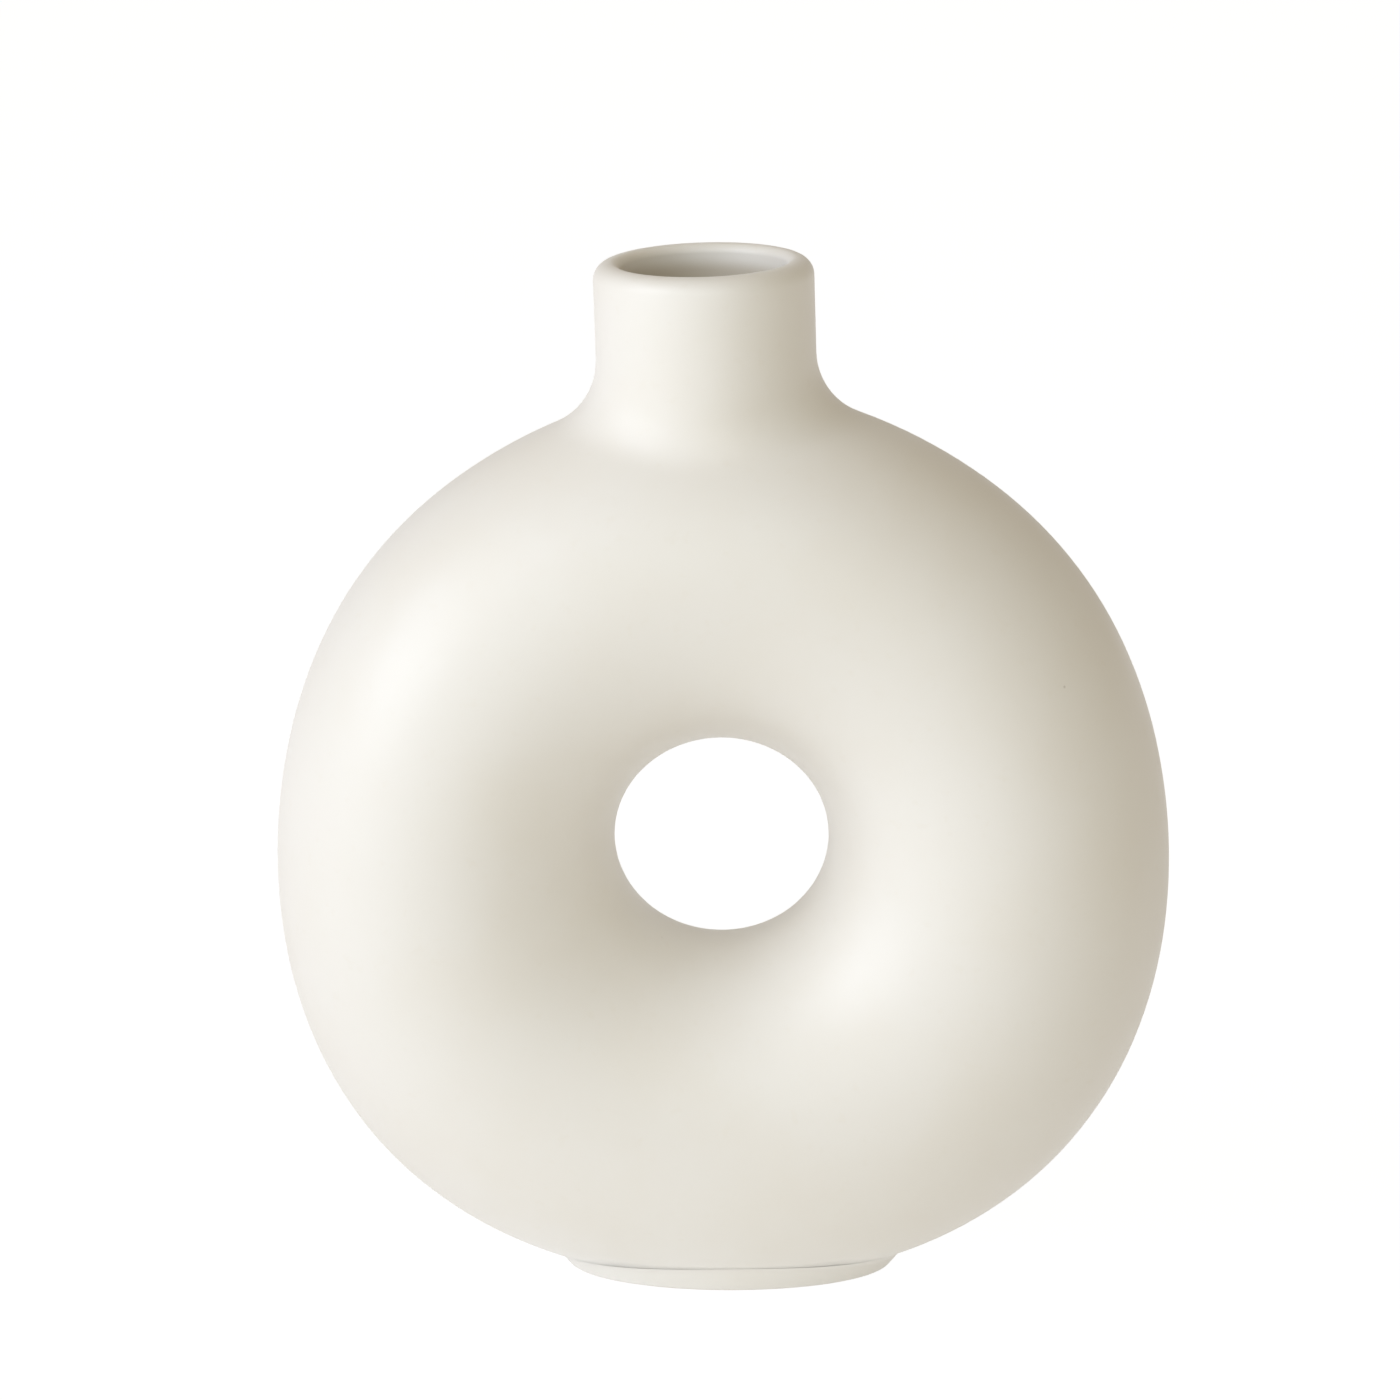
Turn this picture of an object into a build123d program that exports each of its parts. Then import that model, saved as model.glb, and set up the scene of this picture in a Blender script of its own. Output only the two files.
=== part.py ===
from build123d import *
from math import asin, cos, pi, radians, sin, sqrt
import os

# A ring-shaped ceramic vase, made the way a potter builds one: a hollow ring pressed in two
# half shells, a neck and an oval foot, luted together, smoothed over and glazed as one body.
# X runs across the vase, Y from front to back and Z up. The origin is on the table, under
# the middle of the ring. All lengths are in millimetres and all angles in degrees.

# Ring
ring_radius = 86.3  # mean radius of the ring's outer outline, from the hole's centre
ring_fullness = 1.17  # how much fuller the outline is on its diagonals
ring_depth = 65.0  # front to back
hole_radius = 20.4  # the see-through hole at its narrowest
hole_rise = 3.19  # the hole's centre above the outline's centre

# How far the hand-pressed outline is from even
hole_shift = 0.29  # the hole's centre left of the outline's centre
ring_tallness = 0.24
ring_skew = 0.28  # fuller at the lower right and the upper left
ring_sag = 0.3  # fuller at the lower sides

# Shoulder, where the ring swells up to the neck
shoulder_swell = 4.2
shoulder_focus = 19  # the higher, the closer to the neck the swell stays

# Clay
wall = 5.0  # clay thickness of the ring
table_cut = 1.9  # how much of the ring's round underside the table plane takes away

# Foot
foot_length = 66.6
foot_width = 36.4
foot_offset = 1.4  # the foot stands this far right of the ring's middle
foot_height = 5.8  # table to the top of the joint with the ring
foot_collar = 1.7  # how far the joint stands out from the foot's side, to take in the blend
foot_edge_share = 0.5  # round of the lower edge, of the foot's side where it is lowest
foot_blend_share = 0.65  # concave round where the foot meets the ring, of the same side
foot_rim = 4.6  # width of the bare rim that the vase stands on
foot_recess = 1.4
recess_round = 0.6
floor_wall = 3.0  # clay of the ring over the foot
floor_focus = 4  # the higher, the closer to the foot the thicker floor stays

# Neck
mouth_radius = 15.6
neck_wall = 5.0
neck_length = 24.6  # ring's top to the crown of the lip
neck_offset = 3.1  # the neck stands this far left of the ring's middle
neck_lean = 1.7  # degrees, to the left
neck_blend = 13.5  # concave round outside, where the neck meets the ring
neck_seat = 1.5  # the joint with the ring above the ring's top
throat_round = 7.0  # round inside, where the bore opens into the ring
lip_outer_share = 0.64  # round of the lip's outer edge, of the neck's wall
lip_inner_share = 0.34

section_count = 40  # round the ring

# Worked out from the sizes above
up = radians(90)
down = radians(-90)
neck_radius = mouth_radius + neck_wall
overrun = neck_radius  # how far the bore's cut runs out of the mouth


def nearness(angle, centre, focus):
    """1 at the centre angle, falling smoothly to 0 on the far side of the ring."""
    return ((1 + cos(angle - centre)) / 2) ** focus


def outline(angle):
    """Distance from the hole's centre to the ring's outer outline, at an angle from +X."""
    centring = hole_shift * cos(angle) - hole_rise * sin(angle)
    hand = -ring_tallness * cos(2 * angle) - ring_skew * sin(2 * angle) - ring_sag * sin(3 * angle)
    shoulder = shoulder_swell * nearness(angle, up, shoulder_focus)
    return ring_radius + centring + hand - ring_fullness * cos(4 * angle) + shoulder


outline_top = outline(up)
outline_bottom = outline(down)
hole_height = outline_bottom - table_cut
floor_thickening = outline_bottom - wall - (hole_height - foot_height - floor_wall)


def underside(distance):
    """Height over the table of the ring's underside in the middle, a distance right of the hole's centre."""
    angle = down + asin(distance / outline_bottom)
    return hole_height + outline(angle) * sin(angle)


# The foot's side is lowest where the ring comes down closest to the table
foot_left = underside(foot_offset + hole_shift - foot_length / 2)
foot_right = underside(foot_offset + hole_shift + foot_length / 2)
foot_front = (outline_bottom - hole_radius) / 2 * (1 - sqrt(1 - (foot_width / ring_depth) ** 2)) - table_cut
foot_side = min(foot_left, foot_right, foot_front)


def ring_section(angle, outer, inner, half_depth):
    """The oval section of the ring at an angle round the hole, between two distances from its centre."""
    middle = (outer + inner) / 2
    place = Plane(
        origin=(middle * cos(angle) - hole_shift, 0, middle * sin(angle) + hole_height),
        x_dir=(0, 1, 0),
        z_dir=(-sin(angle), 0, cos(angle)),
    )
    half_width = (outer - inner) / 2
    return Wire(Edge.make_ellipse(half_depth, half_width, place, start, start + 180) for start in (0, 180))


def closed_loft(section_at):
    """A ring-shaped solid through the sections that a function gives for the angles round the ring."""
    sections = [section_at(2 * pi * index / section_count) for index in range(section_count)]
    return Solid.make_loft(sections + sections[:1])


def ring_form(angle):
    """The ring's section before it is hollowed."""
    return ring_section(angle, outline(angle), hole_radius, ring_depth / 2)


def hollow_form(angle):
    """The section of the space inside the ring, one wall in, with a thicker floor over the foot."""
    inset = wall + floor_thickening * nearness(angle, down, floor_focus)
    return ring_section(angle, outline(angle) - inset, hole_radius + wall, ring_depth / 2 - wall)


def neck_root():
    """The plane square to the neck's axis, where that axis meets the height of the ring's top."""
    lean = radians(neck_lean)
    return Plane(
        origin=(-neck_offset, 0, hole_height + outline_top),
        x_dir=(cos(lean), 0, sin(lean)),
        z_dir=(-sin(lean), 0, cos(lean)),
    )


def neck_rod(radius, top):
    """A rod on the neck's axis, from inside the ring up to a height over the ring's top."""
    depth = neck_radius + wall
    return neck_root() * Pos(Z=(top - depth) / 2) * Cylinder(radius, top + depth)


def foot_oval(length, width, height):
    """An upright oval block standing on the table where the foot is."""
    block = Pos(X=foot_offset) * extrude(Ellipse(length / 2, width / 2), height)
    return block.solid()


def outer_form():
    """The whole vase from outside, its members blended, and still solid."""
    form = closed_loft(ring_form).fuse(neck_rod(neck_radius, neck_length))
    neck_crease = form.edges().filter_by(GeomType.BSPLINE).sort_by(Axis.Z)[-1]
    form = form.fillet(neck_blend, [neck_crease])
    crown = form.edges().filter_by(GeomType.CIRCLE).sort_by(Axis.Z)[-1]
    form = form.fillet(lip_outer_share * neck_wall, [crown])
    form = form.split(Plane.XY, keep=Keep.TOP)
    form = form.fuse(foot_oval(foot_length, foot_width, foot_height + floor_wall))
    foot_crease = form.edges().filter_by(GeomType.BSPLINE).sort_by(Axis.Z)[0]
    form = form.fillet(foot_blend_share * foot_side, [foot_crease])
    foot_edge = form.edges().filter_by(GeomType.ELLIPSE).sort_by(Axis.Z)[0]
    return form.fillet(foot_edge_share * foot_side, [foot_edge])


def inner_form():
    """The space for water and stems: the ring's hollow and the bore, with a rounded throat."""
    space = closed_loft(hollow_form).fuse(neck_rod(mouth_radius, neck_length + overrun))
    throat = space.edges().filter_by(GeomType.BSPLINE).sort_by(Axis.Z)[-1]
    return space.fillet(throat_round, [throat])


def foot_hollow():
    """The recess under the foot, inside its bare rim."""
    recess = foot_oval(foot_length - 2 * foot_rim, foot_width - 2 * foot_rim, foot_recess)
    return recess.fillet(recess_round, recess.edges().sort_by(Axis.Z)[-1:])


def foot_joint():
    """The block whose side and top are the joint of the foot with the ring."""
    return foot_oval(foot_length + 2 * foot_collar, foot_width + 2 * foot_collar, foot_height)


def fired_clay():
    """All the clay of the vase in one solid, before it is parted into its members."""
    clay = outer_form().cut(inner_form(), foot_hollow())
    rims = clay.edges().filter_by(GeomType.CIRCLE).filter_by(lambda edge: edge.is_closed)
    mouth_edge = rims.sort_by(SortBy.RADIUS)[0]
    return clay.fillet(lip_inner_share * neck_wall, [mouth_edge])


def parted(solid, joint):
    """The two pieces of a solid on the upper and lower sides of a joint plane."""
    return solid.split(joint, keep=Keep.TOP), solid.split(joint, keep=Keep.BOTTOM)


os.makedirs("parts", exist_ok=True)
clay = fired_clay()
foot = clay.intersect(foot_joint()).solid()
neck, ring = parted(clay.cut(foot_joint()), neck_root().offset(neck_seat))
ring_front, ring_back = parted(ring, Plane.XZ)
export_step(ring_front, "parts/ring_front.step")
export_step(ring_back, "parts/ring_back.step")
export_step(neck, "parts/neck.step")
export_step(foot, "parts/foot.step")
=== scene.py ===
"""A ring-shaped ceramic vase with a satin cream-white glaze, in a plain white studio.

The vase is skinned as the potter made it: a hollow ring, a neck and a foot, with every joint
smoothed over. The skin is then cut along the luted joints into the members that model.glb
names. Lengths are in metres, X runs across the vase, Y from front to back and Z up.
"""

import logging
from collections.abc import Iterable, Sequence
from dataclasses import dataclass, field, replace
from enum import Enum
from math import atan2, cos, hypot, pi, radians, sin, tan

import bmesh
import bpy
from mathutils import Matrix, Vector


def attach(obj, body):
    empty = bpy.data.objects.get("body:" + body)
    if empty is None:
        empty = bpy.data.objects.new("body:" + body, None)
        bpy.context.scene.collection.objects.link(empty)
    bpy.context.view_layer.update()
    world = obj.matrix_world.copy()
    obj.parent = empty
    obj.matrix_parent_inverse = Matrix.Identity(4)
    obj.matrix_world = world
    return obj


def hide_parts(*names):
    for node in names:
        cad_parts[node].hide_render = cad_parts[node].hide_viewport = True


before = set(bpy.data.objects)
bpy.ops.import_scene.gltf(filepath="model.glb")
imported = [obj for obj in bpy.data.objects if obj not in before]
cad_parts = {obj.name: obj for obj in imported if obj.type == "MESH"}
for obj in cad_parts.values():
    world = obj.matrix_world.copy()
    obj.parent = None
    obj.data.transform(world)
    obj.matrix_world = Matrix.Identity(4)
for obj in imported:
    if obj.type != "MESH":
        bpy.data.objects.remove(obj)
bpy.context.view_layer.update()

log = logging.getLogger("ring_vase")

MM = 0.001
UP = radians(90)
DOWN = radians(-90)
NORMAL_LAYER = "skin_normal"
MERGE = 1e-6  # vertices nearer than this are one
ON_PLANE = 1e-7  # a vertex nearer than this to a cut lies on it
LEAST_NORMAL = 0.1  # a kept normal shorter than this isn't used
SEARCH_STEPS = 30  # halvings of a range, to well under a micrometre
TOUCH_STEPS = 14  # walks along the skin's normal to the nearest point
FILLING_ROWS = 3  # cuts across the filling between a window and a loop

Colour = tuple[float, float, float]
Value = bpy.types.NodeSocket | float | Colour


# The shape of the clay


class Side(Enum):
    """The two skins of the hollow ring."""

    OUTSIDE = "outside"
    HOLLOW = "hollow"


def nearness(angle: float, centre: float, focus: float) -> float:
    """Tell how near an angle is to a place on the ring.

    Args:
        angle: Angle round the hole from +X, in radians.
        centre: Angle of the place.
        focus: The higher, the faster the value falls off.

    Returns:
        1 at the place, falling smoothly to 0 on the far side of the ring.
    """
    return ((1 + cos(angle - centre)) / 2) ** focus


@dataclass(frozen=True)
class RingShape:
    """Sizes of the hand-pressed hollow ring."""

    radius: float = 86.3 * MM
    fullness: float = 1.17 * MM
    depth: float = 65.0 * MM
    hole_radius: float = 20.4 * MM
    hole_rise: float = 3.19 * MM
    hole_shift: float = 0.29 * MM
    tallness: float = 0.24 * MM
    skew: float = 0.28 * MM
    sag: float = 0.3 * MM
    shoulder_swell: float = 4.2 * MM
    shoulder_focus: float = 19
    wall: float = 5.0 * MM
    table_cut: float = 1.9 * MM
    floor_top: float = 8.8 * MM
    floor_focus: float = 4

    def outline(self, angle: float) -> float:
        """Measure the ring's outline.

        Args:
            angle: Angle round the hole from +X, in radians.

        Returns:
            Distance from the hole's centre to the outer outline.
        """
        centring = self.hole_shift * cos(angle) - self.hole_rise * sin(angle)
        hand = -self.tallness * cos(2 * angle) - self.skew * sin(2 * angle) - self.sag * sin(3 * angle)
        shoulder = self.shoulder_swell * nearness(angle, UP, self.shoulder_focus)
        return self.radius + centring + hand - self.fullness * cos(4 * angle) + shoulder

    @property
    def hole_centre(self) -> Vector:
        """Centre of the see-through hole."""
        return Vector((-self.hole_shift, 0.0, self.outline(DOWN) - self.table_cut))

    @property
    def top(self) -> float:
        """Height of the ring's top over the table."""
        return self.hole_centre.z + self.outline(UP)


@dataclass(frozen=True)
class RingSkin:
    """One skin of the ring: an oval section carried round the hole."""

    shape: RingShape
    side: Side

    def limits(self, angle: float) -> tuple[float, float]:
        """Find the section's reach.

        Args:
            angle: Angle round the hole from +X, in radians.

        Returns:
            Inner and outer distance of the section from the hole's centre.
        """
        outer = self.shape.outline(angle)
        if self.side is Side.OUTSIDE:
            return self.shape.hole_radius, outer
        wall = self.shape.wall
        thickening = self.shape.floor_top + self.shape.table_cut - wall
        inset = wall + thickening * nearness(angle, DOWN, self.shape.floor_focus)
        return self.shape.hole_radius + wall, outer - inset

    @property
    def half_depth(self) -> float:
        """Half the section's size from front to back."""
        inset = 0.0 if self.side is Side.OUTSIDE else self.shape.wall
        return self.shape.depth / 2 - inset

    def point(self, angle: float, turn: float) -> Vector:
        """Find a point of the skin.

        Args:
            angle: Angle round the hole from +X, in radians.
            turn: Angle round the section, 0 on the outer outline.

        Returns:
            The point.
        """
        inner, outer = self.limits(angle)
        distance = (outer + inner) / 2 + (outer - inner) / 2 * cos(turn)
        centre = self.shape.hole_centre
        right, up = distance * cos(angle), distance * sin(angle)
        return Vector((centre.x + right, self.half_depth * sin(turn), centre.z + up))

    def angles(self, point: Vector) -> tuple[float, float]:
        """Find where a point stands over the skin.

        Args:
            point: Any point near the skin.

        Returns:
            Its angle round the hole and its angle round the section.
        """
        centre = self.shape.hole_centre
        angle = atan2(point.z - centre.z, point.x - centre.x)
        inner, outer = self.limits(angle)
        distance = hypot(point.z - centre.z, point.x - centre.x)
        across = (distance - (outer + inner) / 2) / ((outer - inner) / 2)
        return angle, atan2(point.y / self.half_depth, across)

    def snapped(self, point: Vector) -> Vector:
        """Put a point onto the skin, at its own place round the hole and the section."""
        return self.point(*self.angles(point))

    def normal(self, point: Vector) -> Vector:
        """Find the direction away from the ring's core.

        Args:
            point: A point on the skin.

        Returns:
            The unit normal there.
        """
        angle, turn = self.angles(point)
        step = 1e-4  # radians
        along = self.point(angle + step, turn) - self.point(angle - step, turn)
        across = self.point(angle, turn + step) - self.point(angle, turn - step)
        normal = along.cross(across).normalized()
        inner, outer = self.limits(angle)
        centre = self.shape.hole_centre
        middle = (outer + inner) / 2
        core = Vector((centre.x + middle * cos(angle), 0.0, centre.z + middle * sin(angle)))
        return normal if normal.dot(point - core) > 0 else -normal

    def nearest(self, point: Vector) -> Vector:
        """Find the nearest point of the skin.

        Args:
            point: A point outside the skin.

        Returns:
            The point of the skin.
        """
        touching = self.snapped(point)
        for _ in range(TOUCH_STEPS):
            touching = self.snapped(point - self.normal(touching) * (point - touching).length)
        return touching


@dataclass(frozen=True)
class Post:
    """A round or oval post that stands on the ring or under it, such as the neck or the foot.

    Its spread is how much its half length and half width grow for each unit of height.
    """

    origin: Vector
    right: Vector
    back: Vector
    axis: Vector
    half_length: float
    half_width: float
    spread: tuple[float, float] = (0.0, 0.0)

    def half_sizes(self, height: float) -> tuple[float, float]:
        """Half the oval's length and width at a height."""
        return self.half_length + self.spread[0] * height, self.half_width + self.spread[1] * height

    def turn(self, point: Vector) -> float:
        """Angle of a point round the post, as the oval counts it."""
        offset = point - self.origin
        return atan2(offset.dot(self.back) / self.half_width, offset.dot(self.right) / self.half_length)

    def outward(self, angle: float, height: float = 0.0) -> Vector:
        """Find the direction square to the post's side.

        Args:
            angle: Angle round the post.
            height: Height along the axis.

        Returns:
            The unit normal there.
        """
        length, width = self.half_sizes(height)
        ahead = self.back * (width * cos(angle)) - self.right * (length * sin(angle))
        leaning = self.right * (self.spread[0] * cos(angle)) + self.back * (self.spread[1] * sin(angle))
        return ahead.cross(self.axis + leaning).normalized()

    def place(self, angle: float, height: float, offset: float = 0.0) -> Vector:
        """Find a point on or beside the post's side.

        Args:
            angle: Angle round the post.
            height: Height along the axis.
            offset: How far outside the side.

        Returns:
            The point.
        """
        length, width = self.half_sizes(height)
        side = self.right * (length * cos(angle)) + self.back * (width * sin(angle))
        return self.origin + side + self.axis * height + self.outward(angle, height) * offset


@dataclass(frozen=True)
class RolledBlend:
    """The smoothed joint that a ball leaves when it rolls between a post and the ring.

    Its clear height along the post has the ball off the ring, and its sunk height has it inside.
    """

    skin: RingSkin
    post: Post
    radius: float
    clear: float
    sunk: float

    def arc(self, angle: float, steps: int) -> list[Vector]:
        """Find the blend's line at one place round the post.

        Args:
            angle: Angle round the post.
            steps: Parts that the line is divided into.

        Returns:
            Points from the ring to the post's side, both ends included.
        """
        clear, sunk = self.clear, self.sunk
        for _ in range(SEARCH_STEPS):
            height = (clear + sunk) / 2
            ball = self.post.place(angle, height, self.radius)
            if (ball - self.skin.nearest(ball)).length > self.radius:
                clear = height
            else:
                sunk = height
        ball = self.post.place(angle, clear, self.radius)
        on_ring = (self.skin.nearest(ball) - ball).normalized()
        on_post = -self.post.outward(angle, clear)
        return [ball + on_ring.slerp(on_post, index / steps) * self.radius for index in range(steps + 1)]


# Mesh work


@dataclass(frozen=True)
class Window:
    """The patch of a skin's grid that is taken out where a post joins it, counted in faces."""

    centre: float
    along: int = 28
    across: int = 30


@dataclass(frozen=True)
class Grid:
    """How finely a skin of the ring is divided."""

    round_hole: int = 192
    round_section: int = 96

    def half_sizes(self, window: Window) -> tuple[float, float]:
        """Half the window's angle round the hole and round the section."""
        return pi * window.along / self.round_hole, pi * window.across / self.round_section


def ring_mesh(skin: RingSkin, grid: Grid) -> bmesh.types.BMesh:
    """Spin the ring's oval section round the hole, then press it to the hand-made outline.

    Args:
        skin: The skin to make.
        grid: How finely it is divided.

    Returns:
        The closed skin, facing away from the ring's core.
    """
    bm = bmesh.new()
    centre = skin.shape.hole_centre
    inner, outer = skin.limits(0.0)
    middle, half = (outer + inner) / 2, (outer - inner) / 2
    section = bmesh.ops.create_circle(bm, segments=grid.round_section, radius=1.0)
    bmesh.ops.scale(bm, vec=(half, skin.half_depth, 1.0), verts=section["verts"])
    bmesh.ops.translate(bm, vec=centre + Vector((middle, 0.0, 0.0)), verts=section["verts"])
    bmesh.ops.spin(
        bm,
        geom=bm.verts[:] + bm.edges[:],
        cent=centre,
        axis=(0.0, 1.0, 0.0),
        angle=2 * pi,
        steps=grid.round_hole,
        use_merge=True,
    )
    plain = Section(middle, half, skin.half_depth, centre)
    for vert in bm.verts:
        vert.co = skin.point(*plain.angles(vert.co))
    bmesh.ops.remove_doubles(bm, verts=bm.verts[:], dist=MERGE)
    bmesh.ops.recalc_face_normals(bm, faces=bm.faces[:])
    return bm


@dataclass(frozen=True)
class Section:
    """The even oval that the ring is spun from before it is pressed to its outline."""

    middle: float
    half_width: float
    half_depth: float
    centre: Vector

    def angles(self, point: Vector) -> tuple[float, float]:
        """Find where a point stands over the oval.

        Args:
            point: Any point near the even ring.

        Returns:
            Its angle round the hole and its angle round the section.
        """
        distance = hypot(point.x - self.centre.x, point.z - self.centre.z)
        angle = atan2(point.z - self.centre.z, point.x - self.centre.x)
        across = (distance - self.middle) / self.half_width
        return angle, atan2(point.y / self.half_depth, across)


def cut_window(
    bm: bmesh.types.BMesh, skin: RingSkin, grid: Grid, window: Window
) -> list[bmesh.types.BMEdge]:
    """Take a patch out of the ring's skin.

    Args:
        bm: The skin's mesh.
        skin: The skin.
        grid: How finely it is divided.
        window: The patch.

    Returns:
        The edges of the opening.
    """
    along, across = grid.half_sizes(window)
    gone = []
    for face in bm.faces:
        angle, turn = skin.angles(face.calc_center_median())
        if abs((angle - window.centre + pi) % (2 * pi) - pi) < along and abs(turn) < across:
            gone.append(face)
    rim = {edge for face in gone for edge in face.edges}
    bmesh.ops.delete(bm, geom=gone, context="FACES")
    return [edge for edge in rim if edge.is_valid and edge.is_boundary]


def in_order(edges: Iterable[bmesh.types.BMEdge], post: Post) -> list[bmesh.types.BMVert]:
    """The vertices of a loop of edges, sorted round a post."""
    verts = {vert for edge in edges for vert in edge.verts}
    return sorted(verts, key=lambda vert: post.turn(vert.co))


def new_loop(bm: bmesh.types.BMesh, places: Sequence[Vector]) -> list[bmesh.types.BMVert]:
    """Lay a closed loop of edges through some places.

    Args:
        bm: Mesh that gets the loop.
        places: The places, in order.

    Returns:
        The loop's vertices, in the same order.
    """
    circle = bmesh.ops.create_circle(bm, segments=len(places), radius=1.0)["verts"]
    circle.sort(key=lambda vert: atan2(vert.co.y, vert.co.x))
    for vert, place in zip(circle, places):
        vert.co = place
    return circle


def loop_edges(loop: Sequence[bmesh.types.BMVert]) -> list[bmesh.types.BMEdge]:
    """The edges between the neighbours of a closed loop."""
    pairs = zip(loop, [*loop[1:], loop[0]])
    return [
        edge for first, second in pairs for edge in first.link_edges if edge.other_vert(first) is second
    ]


def drawn_out(
    bm: bmesh.types.BMesh, loop: Sequence[bmesh.types.BMVert], places: Sequence[Vector]
) -> list[bmesh.types.BMVert]:
    """Extrude a loop and lay its new edge through some places.

    Args:
        bm: The mesh.
        loop: The loop's vertices, in order.
        places: Where each vertex goes.

    Returns:
        The new loop's vertices, in the same order.
    """
    made = bmesh.ops.extrude_edge_only(bm, edges=loop_edges(loop))["geom"]
    fresh = {item for item in made if isinstance(item, bmesh.types.BMVert)}
    drawn = []
    for vert, place in zip(loop, places):
        partner = next(edge.other_vert(vert) for edge in vert.link_edges if edge.other_vert(vert) in fresh)
        partner.co = place
        drawn.append(partner)
    return drawn


def join_to_ring(
    bm: bmesh.types.BMesh,
    rim: list[bmesh.types.BMEdge],
    loop: Sequence[bmesh.types.BMVert],
    skin: RingSkin,
    cuts: int,
) -> list[bmesh.types.BMVert]:
    """Fill the gap between a window's rim and a loop on the ring.

    Args:
        bm: The mesh.
        rim: The window's edges.
        loop: The loop inside the window.
        skin: The skin that the filling lies on.
        cuts: Rows that the filling is divided by.

    Returns:
        The loop's vertices, looked up again because the division renews them.
    """
    places = [vert.co.copy() for vert in loop]
    edges = loop_edges(loop)
    made = bmesh.ops.bridge_loops(bm, edges=rim + edges)
    ends = set(rim) | set(edges)
    rungs = [edge for edge in made["edges"] if edge not in ends]
    split = bmesh.ops.subdivide_edges(bm, edges=rungs, cuts=cuts, use_grid_fill=True)
    for item in split["geom_inner"]:
        if isinstance(item, bmesh.types.BMVert):
            item.co = skin.snapped(item.co)
    return found(bm, places)


def found(bm: bmesh.types.BMesh, places: Sequence[Vector]) -> list[bmesh.types.BMVert]:
    """The open-edge vertices of a mesh that stand at some places, in their order."""
    near = {vert.co.to_tuple(): vert for vert in bm.verts if vert.is_boundary}
    return [near[place.to_tuple()] for place in places]


def keep_normals(bm: bmesh.types.BMesh) -> None:
    """Write each vertex's normal into the mesh, so that a piece cut from it shades as the whole does.

    Args:
        bm: The whole mesh.
    """
    bm.normal_update()
    layer = bm.verts.layers.float_vector.new(NORMAL_LAYER)
    for vert in bm.verts:
        vert[layer] = vert.normal


@dataclass(frozen=True)
class Cut:
    """A plane that a piece ends at."""

    point: Vector
    away: Vector

    def trim(self, bm: bmesh.types.BMesh) -> None:
        """Cut the mesh off beyond the plane and close it with a flat face of the joint.

        Args:
            bm: The mesh.
        """
        geometry = bm.verts[:] + bm.edges[:] + bm.faces[:]
        bmesh.ops.bisect_plane(
            bm, geom=geometry, dist=ON_PLANE, plane_co=self.point, plane_no=self.away, clear_outer=True
        )
        bmesh.ops.delete(bm, geom=[vert for vert in bm.verts if not vert.link_faces], context="VERTS")
        rim = [edge for edge in bm.edges if edge.is_boundary]
        before = set(bm.faces)
        bmesh.ops.triangle_fill(bm, use_beauty=True, use_dissolve=False, edges=rim, normal=self.away)
        for face in bm.faces:
            if face not in before:
                face.smooth = False
                if face.normal.dot(self.away) < 0:
                    face.normal_flip()


def finished_piece(
    bm: bmesh.types.BMesh, name: str, material: bpy.types.Material, nodes: Sequence[str]
) -> bpy.types.Object:
    """Turn a mesh into a piece of the vase.

    Args:
        bm: The mesh, which is used up.
        name: The piece's name.
        material: Its finish.
        nodes: Names of the nodes that it stands for.

    Returns:
        The piece.
    """
    layer = bm.verts.layers.float_vector.get(NORMAL_LAYER)
    bm.normal_update()
    normals = []
    for face in bm.faces:
        for loop in face.loops:
            kept = loop.vert[layer] if layer and face.smooth else None
            normals.append(kept.normalized() if kept and kept.length > LEAST_NORMAL else face.normal.copy())
    mesh = bpy.data.meshes.new(name)
    bm.to_mesh(mesh)
    bm.free()
    if layer:
        mesh.normals_split_custom_set(normals)
        spare = mesh.attributes.get(NORMAL_LAYER)
        if spare:
            mesh.attributes.remove(spare)
    mesh.materials.append(material)
    piece = bpy.data.objects.new(name, mesh)
    bpy.context.collection.objects.link(piece)
    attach(piece, "root")
    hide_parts(*nodes)
    log.info("%s: %d faces", name, len(mesh.polygons))
    return piece


# The members of the vase


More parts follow.
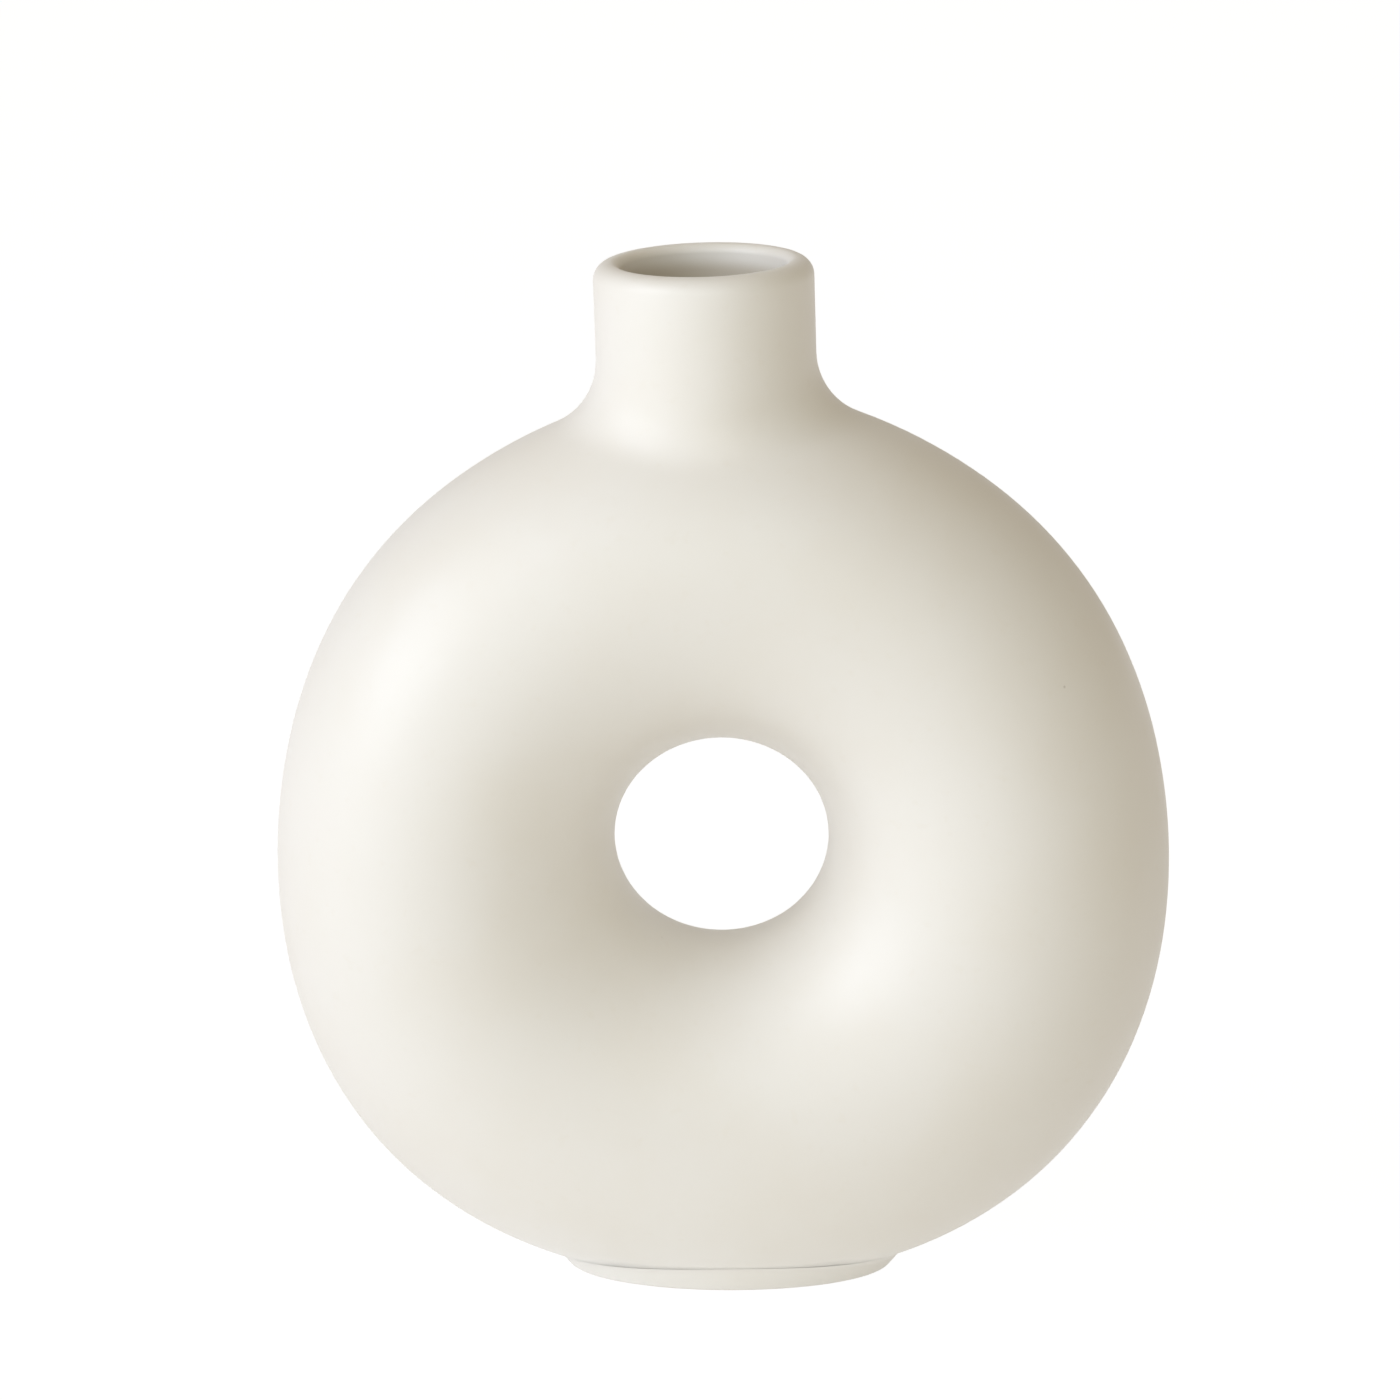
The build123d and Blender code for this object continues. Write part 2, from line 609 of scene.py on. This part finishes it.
@dataclass(frozen=True)
class Neck:
    """The leaning collar with its rounded lip."""

    shape: RingShape
    mouth_radius: float = 15.6 * MM
    wall: float = 5.0 * MM
    length: float = 24.6 * MM
    offset: float = 3.1 * MM
    lean: float = radians(1.7)
    blend: float = 13.5 * MM
    throat: float = 7.0 * MM
    seat: float = 1.5 * MM
    reach: tuple[float, float] = (30 * MM, -12 * MM)
    lip_outer: float = 3.2 * MM
    lip_inner: float = 1.7 * MM
    blend_steps: int = 12
    side_steps: int = 8
    lip_steps: int = 8

    @property
    def axis(self) -> Vector:
        """Direction that the neck points in."""
        return Vector((-sin(self.lean), 0.0, cos(self.lean)))

    @property
    def root(self) -> Vector:
        """Where the neck's axis meets the height of the ring's top."""
        return Vector((-self.offset, 0.0, self.shape.top))

    def post(self, radius: float) -> Post:
        """A round post on the neck's axis."""
        right = Vector((cos(self.lean), 0.0, sin(self.lean)))
        return Post(self.root, right, Vector((0.0, 1.0, 0.0)), self.axis, radius, radius)

    def grow(
        self, bm: bmesh.types.BMesh, skin: RingSkin, grid: Grid, window: Window
    ) -> list[bmesh.types.BMVert]:
        """Open the ring's skin and draw the neck's outside or its bore out of it.

        Args:
            bm: The skin's mesh.
            skin: The skin.
            grid: How finely it is divided.
            window: The patch that the neck takes the place of.

        Returns:
            The loop where the lip starts.
        """
        outside = skin.side is Side.OUTSIDE
        post = self.post(self.mouth_radius + (self.wall if outside else 0.0))
        blend = RolledBlend(skin, post, self.blend if outside else self.throat, *self.reach)
        rim = cut_window(bm, skin, grid, window)
        spread = [post.turn(vert.co) for vert in in_order(rim, post)]
        arcs = [blend.arc(angle, self.blend_steps) for angle in spread]
        loop = new_loop(bm, [arc[0] for arc in arcs])
        loop = join_to_ring(bm, rim, loop, skin, cuts=FILLING_ROWS)
        for step in range(1, self.blend_steps + 1):
            loop = drawn_out(bm, loop, [arc[step] for arc in arcs])
        feet = [(arc[-1] - post.origin).dot(post.axis) for arc in arcs]
        lip = self.length - (self.lip_outer if outside else self.lip_inner)
        even = [2 * pi * index / len(arcs) - pi for index in range(len(arcs))]
        turn = sum((angle - own + pi) % (2 * pi) - pi for angle, own in zip(spread, even)) / len(even)
        for step in range(1, self.side_steps + 1):
            share = step / self.side_steps
            eased = share * share * (3 - 2 * share)
            places = []
            for own, angle, foot in zip(even, spread, feet):
                gap = (own + turn - angle + pi) % (2 * pi) - pi
                places.append(post.place(angle + eased * gap, foot + share * (lip - foot)))
            loop = drawn_out(bm, loop, places)
        return loop

    def lip_line(self) -> list[tuple[float, float]]:
        """Draw the lip's line, from the outer side over the crown to the bore.

        Returns:
            Radius and height of its points.
        """
        outer = self.mouth_radius + self.wall - self.lip_outer
        inner = self.mouth_radius + self.lip_inner
        line = []
        for step in range(1, self.lip_steps + 1):
            angle = UP * step / self.lip_steps
            radius = outer + self.lip_outer * cos(angle)
            line.append((radius, self.length - self.lip_outer * (1 - sin(angle))))
        for step in range(self.lip_steps):
            angle = UP * step / self.lip_steps
            radius = inner - self.lip_inner * sin(angle)
            line.append((radius, self.length - self.lip_inner * (1 - cos(angle))))
        return line

    def close_lip(
        self,
        bm: bmesh.types.BMesh,
        outer: Sequence[bmesh.types.BMVert],
        inner: Sequence[bmesh.types.BMVert],
    ) -> None:
        """Round the lip over from the neck's outside to its bore.

        Args:
            bm: The mesh of both skins.
            outer: The loop at the top of the neck's outside.
            inner: The loop at the top of the bore.
        """
        loop = list(outer)
        post = self.post(self.mouth_radius + self.wall)
        angles = [post.turn(vert.co) for vert in loop]
        for radius, height in self.lip_line():
            ring = self.post(radius)
            loop = drawn_out(bm, loop, [ring.place(angle, height) for angle in angles])
        bmesh.ops.bridge_loops(bm, edges=loop_edges(loop) + loop_edges(inner))

    def cut(self, upper: bool) -> Cut:
        """The luted joint with the ring, as the end of the part above or below it."""
        return Cut(self.root + self.axis * self.seat, -self.axis if upper else self.axis)


@dataclass(frozen=True)
class Foot:
    """The low oval pad under the ring, with a bare rim round a shallow recess."""

    shape: RingShape
    length: float = 66.6 * MM
    width: float = 36.4 * MM
    offset: float = 1.4 * MM
    height: float = 5.8 * MM
    collar: float = 1.7 * MM
    edge: float = 1.676 * MM
    draw_in: tuple[float, float] = (2.5 * MM, 1.6 * MM)
    lean_out: tuple[float, float] = (0.9 * MM, 1.2 * MM)
    side_height: float = 4.2 * MM
    blend: float = 7.5 * MM
    reach: tuple[float, float] = (-20 * MM, 9 * MM)
    rim: float = 4.6 * MM
    recess: float = 1.4 * MM
    recess_round: float = 0.6 * MM
    blend_steps: int = 6
    edge_steps: int = 6

    def post(self, inset: float = 0.0) -> Post:
        """Stand an upright oval under the ring.

        Args:
            inset: How far it is inside the foot's length and width.

        Returns:
            The oval post.
        """
        origin = Vector((self.offset, 0.0, 0.0))
        right, back, axis = (Vector(row) for row in Matrix.Identity(3))
        return Post(origin, right, back, axis, self.length / 2 - inset, self.width / 2 - inset)

    @property
    def side(self) -> Post:
        """Draw the foot's side, which leans out from the table to the ring.

        Returns:
            An oval post, smallest on the table.
        """
        upright = self.post()
        spread = tuple((low + high) / self.side_height for low, high in zip(self.draw_in, self.lean_out))
        half_length = upright.half_length - self.draw_in[0]
        half_width = upright.half_width - self.draw_in[1]
        return replace(upright, half_length=half_length, half_width=half_width, spread=spread)

    def edge_place(self, angle: float, share: float) -> Vector:
        """Find a place on the rounded lower edge.

        Args:
            angle: Angle round the foot.
            share: 0 at the side and 1 on the table.

        Returns:
            The place.
        """
        out = self.side.outward(angle)
        ball = self.side.place(angle, self.edge * (1 + out.z), -self.edge)
        return ball + out.slerp(Vector((0.0, 0.0, -1.0)), share) * self.edge

    def recess_line(self) -> list[tuple[float, float]]:
        """Draw the recess's line, from the bare rim up to the recess's roof.

        Returns:
            Inset and height of its points.
        """
        line = [(self.rim, 0.0), (self.rim, self.recess - self.recess_round)]
        for step in range(1, self.edge_steps + 1):
            turn = UP * step / self.edge_steps
            inset = self.rim + self.recess_round * (1 - cos(turn))
            line.append((inset, self.recess - self.recess_round * (1 - sin(turn))))
        return line

    def joint_places(self, skin: RingSkin, angles: Iterable[float]) -> list[Vector]:
        """Find where the seat's side comes out of the ring.

        Args:
            skin: The ring's outside.
            angles: Angles round the foot.

        Returns:
            A place for each angle.
        """
        post = self.post(-self.collar)
        places = []
        for angle in angles:
            low, high = -self.shape.table_cut, self.height
            for _ in range(SEARCH_STEPS):
                height = (low + high) / 2
                place = post.place(angle, height)
                core = skin.snapped(place) - place
                if core.dot(skin.normal(skin.snapped(place))) < 0:
                    low = height
                else:
                    high = height
            places.append(post.place(angle, low))
        return places

    def seat_in_ring(
        self, bm: bmesh.types.BMesh, skin: RingSkin, grid: Grid, window: Window
    ) -> list[float]:
        """Open the ring's underside and sink the seat for the foot into it.

        Args:
            bm: The mesh of the ring's outside.
            skin: The ring's outside.
            grid: How finely it is divided.
            window: The patch that the foot takes the place of.

        Returns:
            The angles round the foot that its loops have.
        """
        rim = cut_window(bm, skin, grid, window)
        post = self.post(-self.collar)
        angles = [post.turn(vert.co) for vert in in_order(rim, post)]
        loop = new_loop(bm, self.joint_places(skin, angles))
        loop = join_to_ring(bm, rim, loop, skin, cuts=FILLING_ROWS)
        loop = drawn_out(bm, loop, [post.place(angle, self.height) for angle in angles])
        bmesh.ops.edgeloop_fill(bm, edges=loop_edges(loop))
        return angles

    def mesh(self, skin: RingSkin, angles: Sequence[float]) -> bmesh.types.BMesh:
        """Model the foot, from the top of its seat down over the blend and under the rim.

        Args:
            skin: The ring's outside, which the blend runs out on.
            angles: Angles round the foot for its loops.

        Returns:
            The closed foot.
        """
        bm = bmesh.new()
        collar = self.post(-self.collar)
        blend = RolledBlend(skin, self.side, self.blend, *self.reach)
        arcs = [blend.arc(angle, self.blend_steps) for angle in angles]
        joint = self.joint_places(skin, angles)
        loop = new_loop(bm, [collar.place(angle, self.height) for angle in angles])
        bmesh.ops.edgeloop_fill(bm, edges=loop_edges(loop))
        sharp = {*bm.faces}
        loop = drawn_out(bm, loop, joint)
        sharp |= {*bm.faces}
        creases = loop_edges(loop)  # the blend runs out beside the seat, and the skin turns back there
        loop = drawn_out(bm, loop, [skin.snapped((place + arc[0]) / 2) for place, arc in zip(joint, arcs)])
        loop = drawn_out(bm, loop, [arc[0] for arc in arcs])
        creases += loop_edges(loop)
        for step in range(1, self.blend_steps + 1):
            loop = drawn_out(bm, loop, [arc[step] for arc in arcs])
        for step in range(self.edge_steps + 1):
            loop = drawn_out(bm, loop, [self.edge_place(angle, step / self.edge_steps) for angle in angles])
        for inset, height in self.recess_line():
            oval = self.post(inset)
            loop = drawn_out(bm, loop, [oval.place(angle, height) for angle in angles])
        bmesh.ops.edgeloop_fill(bm, edges=loop_edges(loop))
        for face in bm.faces:
            face.smooth = face not in sharp
        for edge in creases:
            edge.smooth = False
        bmesh.ops.recalc_face_normals(bm, faces=bm.faces[:])
        return bm


# Finishes


@dataclass(frozen=True)
class Nodes:
    """The nodes of one material or of the world."""

    tree: bpy.types.NodeTree

    def add(self, kind: str, **inputs: Value) -> bpy.types.Node:
        """Add a node.

        Args:
            kind: The node's type.
            inputs: A socket or a constant for each input that isn't left as it is.

        Returns:
            The node.
        """
        node = self.tree.nodes.new(kind)
        for name, value in inputs.items():
            self.feed(node.inputs[name], value)
        return node

    def feed(self, socket: bpy.types.NodeSocket, value: Value) -> None:
        """Link a socket to another, or set it to a constant.

        Args:
            socket: The input.
            value: What it gets.
        """
        if isinstance(value, bpy.types.NodeSocket):
            self.tree.links.new(value, socket)
        else:
            socket.default_value = (*value, 1.0) if isinstance(value, tuple) else value

    def number(self, operation: str, first: Value, second: Value) -> bpy.types.NodeSocket:
        """Work out a number from two others.

        Args:
            operation: Name of the sum.
            first: A socket or a number.
            second: A socket or a number.

        Returns:
            The result.
        """
        node = self.add("ShaderNodeMath")
        node.operation = operation
        for socket, value in zip(node.inputs, (first, second)):
            self.feed(socket, value)
        return node.outputs["Value"]

    def noise(self, place: bpy.types.NodeSocket, scale: float, detail: float) -> bpy.types.NodeSocket:
        """Add a noise pattern.

        Args:
            place: Where the pattern is read.
            scale: Waves to the metre.
            detail: Finer octaves on top.

        Returns:
            The pattern, around one half.
        """
        return self.add("ShaderNodeTexNoise", Vector=place, Scale=scale, Detail=detail).outputs["Fac"]

    def ramp(
        self, value: bpy.types.NodeSocket, start: float, end: float, low: float, high: float
    ) -> bpy.types.NodeSocket:
        """Map a range of a value smoothly to another range.

        Args:
            value: The value.
            start: Where the range starts.
            end: Where it ends.
            low: Result at the start.
            high: Result at the end.

        Returns:
            The mapped value.
        """
        node = self.add("ShaderNodeMapRange", Value=value)
        node.interpolation_type = "SMOOTHSTEP"
        for name, number in (("From Min", start), ("From Max", end), ("To Min", low), ("To Max", high)):
            self.feed(node.inputs[name], number)
        return node.outputs["Result"]

    def tinted(self, share: bpy.types.NodeSocket, first: Value, second: Value) -> bpy.types.NodeSocket:
        """Mix two colours.

        Args:
            share: How much of the second.
            first: A colour or a socket.
            second: A colour or a socket.

        Returns:
            The mixed colour.
        """
        node = self.add("ShaderNodeMix", Factor=share)
        node.data_type = "RGBA"
        sockets = (socket for socket in node.inputs if socket.type == "RGBA")
        for socket, colour in zip(sockets, (first, second)):
            self.feed(socket, colour)
        return next(socket for socket in node.outputs if socket.type == "RGBA")

    def mixed(self, share: Value, first: bpy.types.Node, second: bpy.types.Node) -> bpy.types.Node:
        """Mix two finishes.

        Args:
            share: How much of the second.
            first: A shader node.
            second: A shader node.

        Returns:
            The node that mixes them.
        """
        node = self.add("ShaderNodeMixShader", Fac=share)
        for socket, shader in zip(node.inputs[1:], (first, second)):
            self.feed(socket, shader.outputs[0])
        return node

    def shown(self) -> bpy.types.NodeSocket:
        """Tell the rays that show a surface, straight or in a reflection, from those that gather light.

        Returns:
            1 for a ray that shows it and 0 for the others.
        """
        rays = self.add("ShaderNodeLightPath").outputs
        straight = self.number("ADD", rays["Is Camera Ray"], rays["Is Glossy Ray"])
        return self.number("ADD", straight, rays["Is Transmission Ray"])


@dataclass(frozen=True)
class SatinGlaze:
    """A satin cream-white glaze over a pale stoneware body.

    It is thin in faint cloudy patches, holds a few iron specks, and is wiped off the foot's rim.
    Inside the neck below the lip, its colour is darkened with painted shade. Scales are in waves
    to the metre, a fade is the range that a patch comes or goes over, and a share is how much of it shows.
    """

    name: str = "satin_glaze"
    cream: Colour = (0.86, 0.838, 0.80)
    thin: Colour = (0.825, 0.785, 0.715)
    # inner: painted shade inside the neck's bore, below the lip
    inner: Colour = (0.66, 0.61, 0.53)
    clay: Colour = (0.62, 0.53, 0.42)
    speck: Colour = (0.26, 0.20, 0.14)
    roughness: tuple[float, float] = (0.42, 0.51)
    bare_roughness: float = 0.85
    coat: float = 0.10
    coat_roughness: float = 0.26
    cloud_scale: float = 38
    cloud_fade: tuple[float, float] = (0.35, 0.75)
    cloud_share: float = 0.35
    mottle_scale: float = 420
    mottle_fade: tuple[float, float] = (0.60, 0.78)
    mottle_share: float = 0.22
    sheen_fade: tuple[float, float] = (0.3, 0.7)
    speck_scale: float = 95
    speck_fade: tuple[float, float] = (0.020, 0.045)
    speck_pick: tuple[float, float] = (0.90, 0.93)
    speck_share: float = 0.4
    wander_scale: float = 160
    wander: float = 0.3 * MM
    rim_fade: tuple[float, float] = (0.3 * MM, 0.5 * MM)
    bore_lean: float = radians(1.7)
    bore_base: float = 2.05 * MM
    bore_fade: tuple[float, float] = (15.81 * MM, 17.2 * MM)
    lip_fade: tuple[float, float] = (192.5 * MM, 195.5 * MM)
    throat_fade: tuple[float, float] = (155 * MM, 160 * MM)
    grain_scale: float = 900
    grain: float = 0.03
    ripple: float = 0.25
    pit: float = 0.10
    bump: float = 0.35
    bump_height: float = 0.6 * MM

    def material(self) -> bpy.types.Material:
        """Make the glaze.

        Returns:
            A material whose patterns follow the object's own coordinates.
        """
        made = bpy.data.materials.new(self.name)
        made.use_nodes = True
        nodes = Nodes(made.node_tree)
        place = nodes.add("ShaderNodeTexCoord").outputs["Object"]
        cloud = nodes.noise(place, self.cloud_scale, detail=3)
        mottle = nodes.noise(place, self.mottle_scale, detail=2)
        specks = self.specks(nodes, place)
        bare = self.bare_rim(nodes, place)
        layers = (
            (nodes.ramp(cloud, *self.cloud_fade, 0.0, self.cloud_share), self.thin),
            (nodes.ramp(mottle, *self.mottle_fade, 0.0, self.mottle_share), self.thin),
            # painted shade inside the neck, below the lip
            (self.bore(nodes, place), self.inner),
            (specks, self.speck),
            (bare, self.clay),
        )
        tint: Value = self.cream
        for share, colour in layers:
            tint = nodes.tinted(share, tint, colour)
        glazed = nodes.ramp(cloud, *self.sheen_fade, *self.roughness)
        rough = nodes.number("MAXIMUM", glazed, nodes.number("MULTIPLY", bare, self.bare_roughness))
        shader = next(node for node in nodes.tree.nodes if node.type == "BSDF_PRINCIPLED")
        for name, value in (
            ("Base Color", tint),
            ("Roughness", rough),
            ("Normal", self.surface(nodes, place, cloud, specks)),
            ("Coat Weight", self.coat),
            ("Coat Roughness", self.coat_roughness),
        ):
            nodes.feed(shader.inputs[name], value)
        return made

    def surface(
        self,
        nodes: Nodes,
        place: bpy.types.NodeSocket,
        cloud: bpy.types.NodeSocket,
        specks: bpy.types.NodeSocket,
    ) -> bpy.types.NodeSocket:
        """Ripple the glaze slightly, with a fine grain and a pit at each speck.

        Args:
            nodes: The material's nodes.
            place: Where the grain is read.
            cloud: The pattern of the ripple.
            specks: How dark a speck is, and 0 where there is none.

        Returns:
            The surface's normal.
        """
        grain = nodes.noise(place, self.grain_scale, detail=2)
        height = nodes.number("MULTIPLY", cloud, self.ripple)
        height = nodes.number("ADD", height, nodes.number("MULTIPLY", grain, self.grain))
        height = nodes.number("SUBTRACT", height, nodes.number("MULTIPLY", specks, self.pit))
        bump = nodes.add("ShaderNodeBump", Strength=self.bump, Distance=self.bump_height, Height=height)
        return bump.outputs["Normal"]

    def specks(self, nodes: Nodes, place: bpy.types.NodeSocket) -> bpy.types.NodeSocket:
        """Scatter a few iron specks.

        Args:
            nodes: The material's nodes.
            place: Where the pattern is read.

        Returns:
            How dark the speck is, and 0 where there is none.
        """
        cells = nodes.add("ShaderNodeTexVoronoi", Vector=place, Scale=self.speck_scale)
        near = nodes.ramp(cells.outputs["Distance"], *self.speck_fade, 1.0, 0.0)
        pick = nodes.add("ShaderNodeSeparateColor", Color=cells.outputs["Color"])
        few = nodes.ramp(pick.outputs["Red"], *self.speck_pick, 0.0, self.speck_share)
        return nodes.number("MULTIPLY", near, few)

    def bore(self, nodes: Nodes, place: bpy.types.NodeSocket) -> bpy.types.NodeSocket:
        """Find the inside of the leaning neck below the lip, where the glaze's colour is darkened with
        painted shade.

        Args:
            nodes: The material's nodes.
            place: Where the pattern is read.

        Returns:
            1 inside the neck and 0 elsewhere.
        """
        along = nodes.add("ShaderNodeSeparateXYZ", Vector=place).outputs
        leaning = nodes.number("MULTIPLY", along["Z"], tan(self.bore_lean))
        across = nodes.number("SUBTRACT", nodes.number("ADD", along["X"], leaning), self.bore_base)
        squares = [nodes.number("MULTIPLY", length, length) for length in (across, along["Y"])]
        fade = (radius * radius for radius in self.bore_fade)
        near = nodes.ramp(nodes.number("ADD", *squares), *fade, 1.0, 0.0)
        under_lip = nodes.ramp(along["Z"], *self.lip_fade, 1.0, 0.0)
        over_ring = nodes.ramp(along["Z"], *self.throat_fade, 0.0, 1.0)
        return nodes.number("MULTIPLY", near, nodes.number("MULTIPLY", under_lip, over_ring))

    def bare_rim(self, nodes: Nodes, place: bpy.types.NodeSocket) -> bpy.types.NodeSocket:
        """Find where the glaze was wiped off, low on the foot.

        Args:
            nodes: The material's nodes.
            place: Where the pattern is read.

        Returns:
            1 on bare clay and 0 on glaze.
        """
        height = nodes.add("ShaderNodeSeparateXYZ", Vector=place).outputs["Z"]
        wander = nodes.number("MULTIPLY", nodes.noise(place, self.wander_scale, detail=2), self.wander)
        return nodes.ramp(nodes.number("ADD", height, wander), *self.rim_fade, 1.0, 0.0)


# The studio


@dataclass(frozen=True)
class Lamp:
    """A soft box."""

    name: str
    place: tuple[float, float, float]
    size: tuple[float, float]
    watts: float
    colour: Colour

    def build(self, target: Vector) -> bpy.types.Object:
        """Hang the lamp so that it faces a target.

        Args:
            target: The point that it faces.

        Returns:
            The lamp.
        """
        data = bpy.data.lights.new(self.name, "AREA")
        data.shape = "RECTANGLE"
        data.size, data.size_y = self.size
        data.energy = self.watts
        data.color = self.colour
        lamp = bpy.data.objects.new(self.name, data)
        lamp.location = self.place
        lamp.rotation_euler = (target - lamp.location).to_track_quat("-Z", "Y").to_euler()
        bpy.context.collection.objects.link(lamp)
        return lamp


@dataclass(frozen=True)
class Studio:
    """A white table under soft light, and the camera at the photograph's angle.

    The table glows a little to light the vase from below. Where it shows, it is white over most of
    its own shaded paint, so that it keeps the vase's shadow. The focal length and the place where
    the hole is seen are in pixels of the picture.
    """

    distance: float = 1.10
    elevation: float = radians(16.3)
    focal: float = 5765.0
    picture: float = 1400.0
    hole_seen: tuple[float, float] = (722.5, 834.7)
    sensor: float = 36.0  # in millimetres, as the camera takes it
    nearest: float = 10 * MM
    table: float = 12.0
    ambient: float = 0.333
    ambient_colour: Colour = (1.0, 0.80, 0.50)
    backdrop: Colour = (0.8, 0.8, 0.8)
    lamps: tuple[Lamp, ...] = (
        Lamp("key", (-1.334, -0.770, 0.805), (1.3, 1.3), 19.0, (0.81, 0.875, 1.0)),
        Lamp("fill", (0.0, -1.541, 0.805), (1.3, 1.3), 6.2, (0.88, 1.0, 1.0)),
    )
    paint: Colour = (0.86, 0.86, 0.855)
    glow: float = 0.20
    white: float = 1.11
    cover: float = 0.87

    def build(self, centre: Vector) -> None:
        """Set up the studio.

        Args:
            centre: The hole's centre, which the lamps and the camera face.
        """
        self.add_table()
        self.light_world()
        for lamp in self.lamps:
            lamp.build(centre)
            log.info("lamp %s: %.1f W", lamp.name, lamp.watts)
        self.add_camera(centre)
        bpy.context.scene.view_settings.view_transform = "Standard"

    def add_camera(self, centre: Vector) -> None:
        """Place the camera so that the hole's centre shows where it does in the photograph.

        Args:
            centre: The hole's centre.
        """
        data = bpy.data.cameras.new("camera")
        data.sensor_width = self.sensor
        data.sensor_fit = "HORIZONTAL"
        data.lens = self.focal / self.picture * self.sensor
        data.clip_start = self.nearest
        camera = bpy.data.objects.new("camera", data)
        back = Vector((0.0, -cos(self.elevation), sin(self.elevation)))
        camera.location = centre + back * self.distance
        right = atan2(self.hole_seen[0] - self.picture / 2, self.focal)
        below = atan2(self.hole_seen[1] - self.picture / 2, self.focal)
        pitch = Matrix.Rotation(radians(90) - self.elevation + below, 4, "X")
        camera.rotation_euler = (Matrix.Rotation(right, 4, "Z") @ pitch).to_euler()
        bpy.context.collection.objects.link(camera)
        bpy.context.scene.camera = camera

    def add_table(self) -> None:
        """Lay the white table top."""
        bm = bmesh.new()
        bmesh.ops.create_grid(bm, x_segments=1, y_segments=1, size=self.table / 2)
        mesh = bpy.data.meshes.new("table")
        bm.to_mesh(mesh)
        bm.free()
        mesh.materials.append(self.table_paint())
        table = bpy.data.objects.new("table", mesh)
        bpy.context.collection.objects.link(table)

    def table_paint(self) -> bpy.types.Material:
        """Make the table's white paint.

        Returns:
            A material that glows a little, and is nearly even white where it shows.
        """
        made = bpy.data.materials.new("white_table")
        made.use_nodes = True
        nodes = Nodes(made.node_tree)
        nodes.tree.nodes.clear()
        paint = nodes.add("ShaderNodeBsdfDiffuse", Color=self.paint)
        glow = nodes.add("ShaderNodeEmission", Strength=self.glow)
        lit = nodes.add("ShaderNodeAddShader")
        for socket, shader in zip(lit.inputs, (paint, glow)):
            nodes.feed(socket, shader.outputs[0])
        white = nodes.add("ShaderNodeEmission", Strength=self.white)
        surface = nodes.mixed(nodes.shown(), lit, nodes.mixed(self.cover, paint, white))
        nodes.add("ShaderNodeOutputMaterial", Surface=surface.outputs[0])
        return made

    def light_world(self) -> None:
        """Surround the studio with even warm light, and show it as a pale backdrop."""
        world = bpy.data.worlds.new("studio")
        world.use_nodes = True
        nodes = Nodes(world.node_tree)
        nodes.tree.nodes.clear()
        even = nodes.add("ShaderNodeBackground", Color=self.ambient_colour, Strength=self.ambient)
        backdrop = nodes.add("ShaderNodeBackground", Color=self.backdrop, Strength=1.0)
        surface = nodes.mixed(nodes.shown(), even, backdrop)
        nodes.add("ShaderNodeOutputWorld", Surface=surface.outputs[0])
        bpy.context.scene.world = world


# The vase


@dataclass
class RingVase:
    """The whole vase, skinned as one body and parted at its luted joints."""

    shape: RingShape = field(default_factory=RingShape)
    grid: Grid = field(default_factory=Grid)

    def build(self, glaze: bpy.types.Material) -> list[bpy.types.Object]:
        """Model and dress the vase.

        Args:
            glaze: The finish of every piece.

        Returns:
            Its pieces.
        """
        neck, foot = Neck(self.shape), Foot(self.shape)
        outside = RingSkin(self.shape, Side.OUTSIDE)
        body, angles = self.body(neck, foot, outside)
        keep_normals(body)
        back = Vector((0.0, 1.0, 0.0))
        middle = Vector((0.0, 0.0, 0.0))
        cuts: dict[str, tuple[Cut, ...]] = {
            "neck": (neck.cut(upper=True),),
            "ring_front": (neck.cut(upper=False), Cut(middle, back)),
            "ring_back": (neck.cut(upper=False), Cut(middle, -back)),
        }
        pieces = []
        for node, planes in cuts.items():
            part = body.copy()
            for plane in planes:
                plane.trim(part)
            pieces.append(finished_piece(part, node + "_clay", glaze, [node]))
        body.free()
        pieces.append(finished_piece(foot.mesh(outside, angles), "foot_clay", glaze, ["foot"]))
        return pieces

    def body(self, neck: Neck, foot: Foot, outside: RingSkin) -> tuple[bmesh.types.BMesh, list[float]]:
        """Skin the ring and neck, inside and out.

        Args:
            neck: The neck.
            foot: The foot, whose seat is sunk into the ring.
            outside: The ring's outside.

        Returns:
            The closed body, and the angles round the foot that its loops have.
        """
        window = Window(UP)
        bm = ring_mesh(outside, self.grid)
        angles = foot.seat_in_ring(bm, outside, self.grid, Window(DOWN))
        outer = neck.grow(bm, outside, self.grid, window)
        outer_places = [vert.co.copy() for vert in outer]
        hollow = RingSkin(self.shape, Side.HOLLOW)
        inside = ring_mesh(hollow, self.grid)
        inner = neck.grow(inside, hollow, self.grid, window)
        inner_places = [vert.co.copy() for vert in inner]
        bmesh.ops.reverse_faces(inside, faces=inside.faces[:])
        added = bpy.data.meshes.new("hollow")
        inside.to_mesh(added)
        inside.free()
        bm.from_mesh(added)
        bpy.data.meshes.remove(added)
        outer = found(bm, outer_places)
        inner = found(bm, inner_places)
        neck.close_lip(bm, outer, inner)
        bmesh.ops.remove_doubles(bm, verts=bm.verts[:], dist=MERGE)
        bmesh.ops.recalc_face_normals(bm, faces=bm.faces[:])
        for face in bm.faces:
            face.smooth = True
        return bm, angles


def main() -> None:
    """Build the vase and its studio."""
    logging.basicConfig(level=logging.INFO, format="%(name)s: %(message)s")
    glaze = SatinGlaze().material()
    vase = RingVase()
    for piece in vase.build(glaze):
        log.info("built %s", piece.name)
    Studio().build(vase.shape.hole_centre)


if __name__ == "__main__":
    main()
